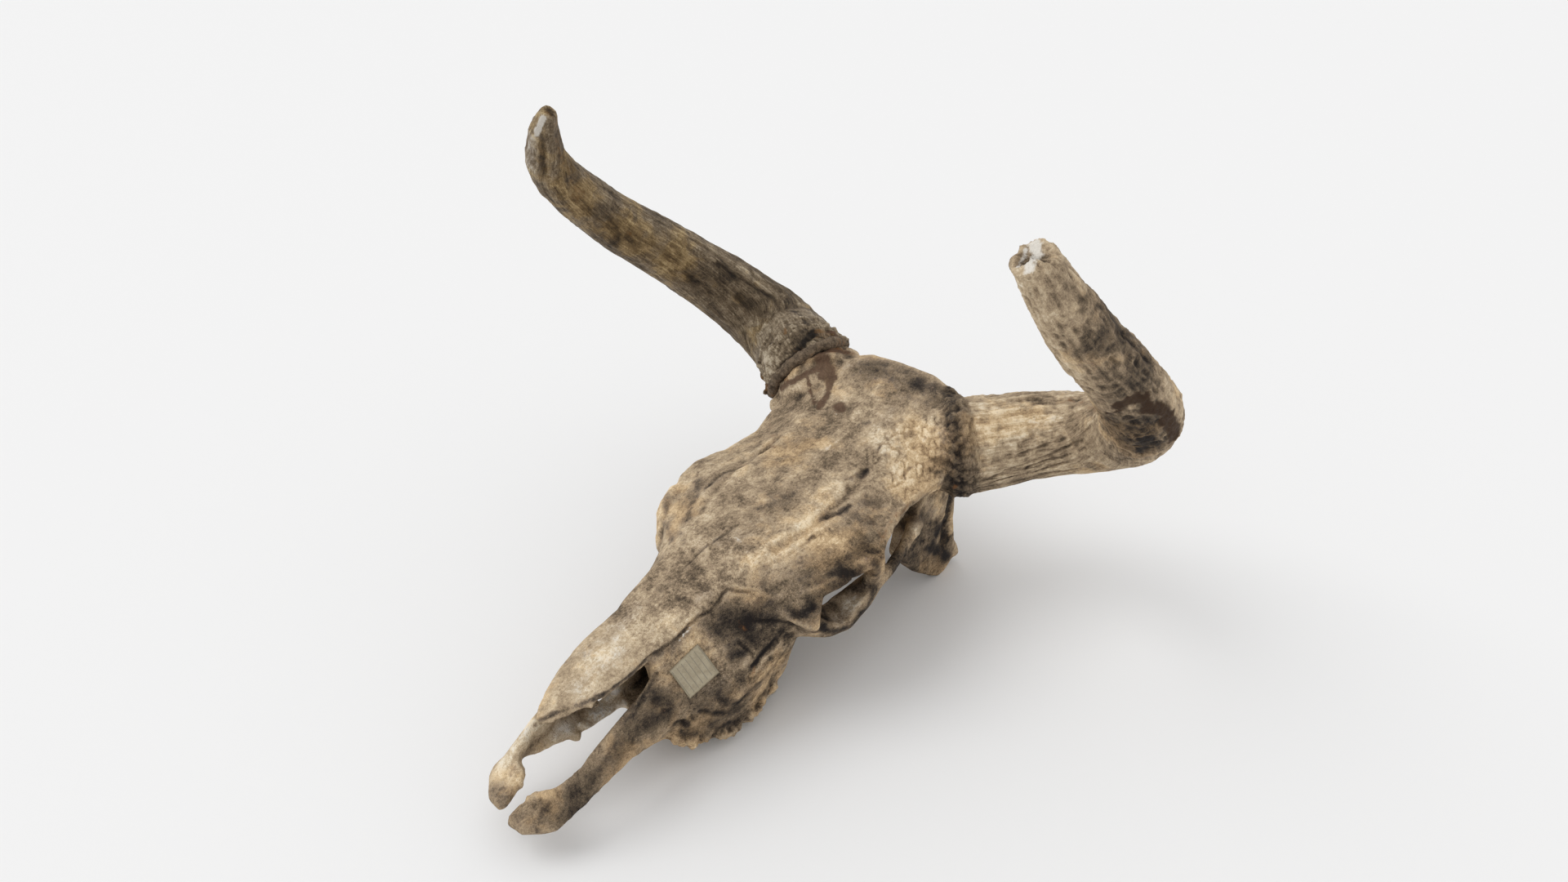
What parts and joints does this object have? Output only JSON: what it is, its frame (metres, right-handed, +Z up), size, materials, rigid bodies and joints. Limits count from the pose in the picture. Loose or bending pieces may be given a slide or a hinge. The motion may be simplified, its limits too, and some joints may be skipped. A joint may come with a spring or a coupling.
{
  "type": "aurochs skull",
  "caption": "Long ox skull without its lower jaw, with upswept horn cores, resting on its cheek teeth and the bony tips beside its neck joint.",
  "frame": {"origin": "on the floor, under the middle of the whole skull's box", "axes": "+Z up, the muzzle points to -Y, the animal's left is +X"},
  "size_m": [0.778, 0.787, 0.6316],
  "materials": {
    "bone": "old dry bone, cream to ochre with grey-brown and near-black stains, matt and porous",
    "horn_core": "grey-brown bone core, long fine fibres and dark blotches, matt",
    "filler": "red-brown repair filler, dull",
    "tooth": "worn stained enamel, slightly glossy",
    "paper": "aged blank paper, matt"
  },
  "bodies": {
    "root": {"cranium": "bone", "right_horn_core": "horn_core", "root_filler": "filler", "left_molar_1": "tooth", "left_molar_2": "tooth", "left_molar_3": "tooth", "right_molar_1": "tooth", "right_molar_2": "tooth", "right_molar_3": "tooth", "paper_label": "paper"}
  },
  "joints": []
}
